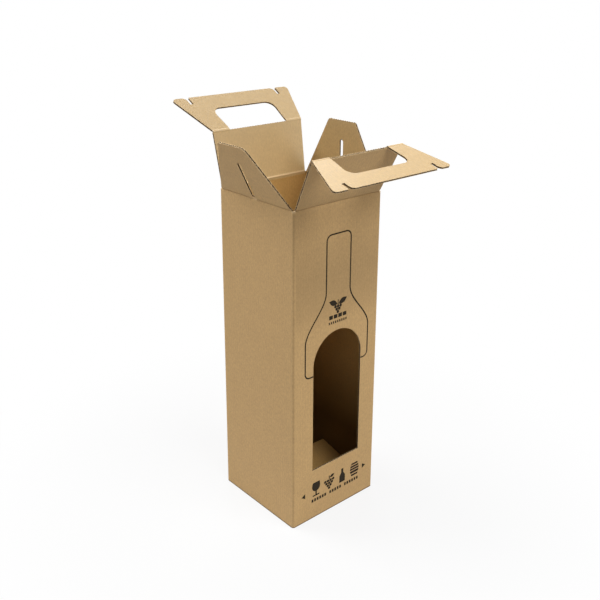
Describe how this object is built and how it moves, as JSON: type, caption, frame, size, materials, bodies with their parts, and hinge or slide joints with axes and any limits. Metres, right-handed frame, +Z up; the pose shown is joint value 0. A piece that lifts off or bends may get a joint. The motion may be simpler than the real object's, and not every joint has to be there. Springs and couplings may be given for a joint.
{
  "type": "wine box",
  "caption": "Tall corrugated board wine carrier with an arched front window, locked bottom flaps, and open roof panels that end in folding handles beside slotted side flaps.",
  "frame": {"origin": "middle of the carton's base, on the surface it stands on", "axes": "+Z up along the walls, the wall with the window faces -Y, +X to the right seen from the window side"},
  "size_m": [0.1549, 0.2281, 0.4119],
  "materials": {
    "kraft_board": "matte brown kraft liner"
  },
  "bodies": {
    "carton_body": {"carton_body": "kraft_board"},
    "front_roof": {"front_roof": "kraft_board"},
    "front_handle": {"front_handle": "kraft_board"},
    "back_roof": {"back_roof": "kraft_board"},
    "back_handle": {"back_handle": "kraft_board"},
    "left_side_flap": {"left_side_flap": "kraft_board"},
    "right_side_flap": {"right_side_flap": "kraft_board"}
  },
  "joints": [
    {"name": "front_roof_crease", "type": "hinge", "parent": "carton_body", "child": "front_roof", "pos_m": [0, -0.0541, 0.33], "axis": [-1, 0, 0], "range_deg": [-85.5, 48.5]},
    {"name": "front_handle_crease", "type": "hinge", "parent": "front_roof", "child": "front_handle", "pos_m": [0, -0.07842, 0.37877], "axis": [1, 0, 0], "range_deg": [-82, 30]},
    {"name": "back_roof_crease", "type": "hinge", "parent": "carton_body", "child": "back_roof", "pos_m": [0, 0.0541, 0.33], "axis": [1, 0, 0], "range_deg": [-101.5, 32.5]},
    {"name": "back_handle_crease", "type": "hinge", "parent": "back_roof", "child": "back_handle", "pos_m": [0, 0.06403, 0.38359], "axis": [-1, 0, 0], "range_deg": [-44.5, 67.5]},
    {"name": "left_flap_crease", "type": "hinge", "parent": "carton_body", "child": "left_side_flap", "pos_m": [-0.0551, 0, 0.33], "axis": [0, 1, 0], "range_deg": [-85.5, 81.5]},
    {"name": "right_flap_crease", "type": "hinge", "parent": "carton_body", "child": "right_side_flap", "pos_m": [0.0551, 0, 0.33], "axis": [0, -1, 0], "range_deg": [-112, 55]}
  ]
}
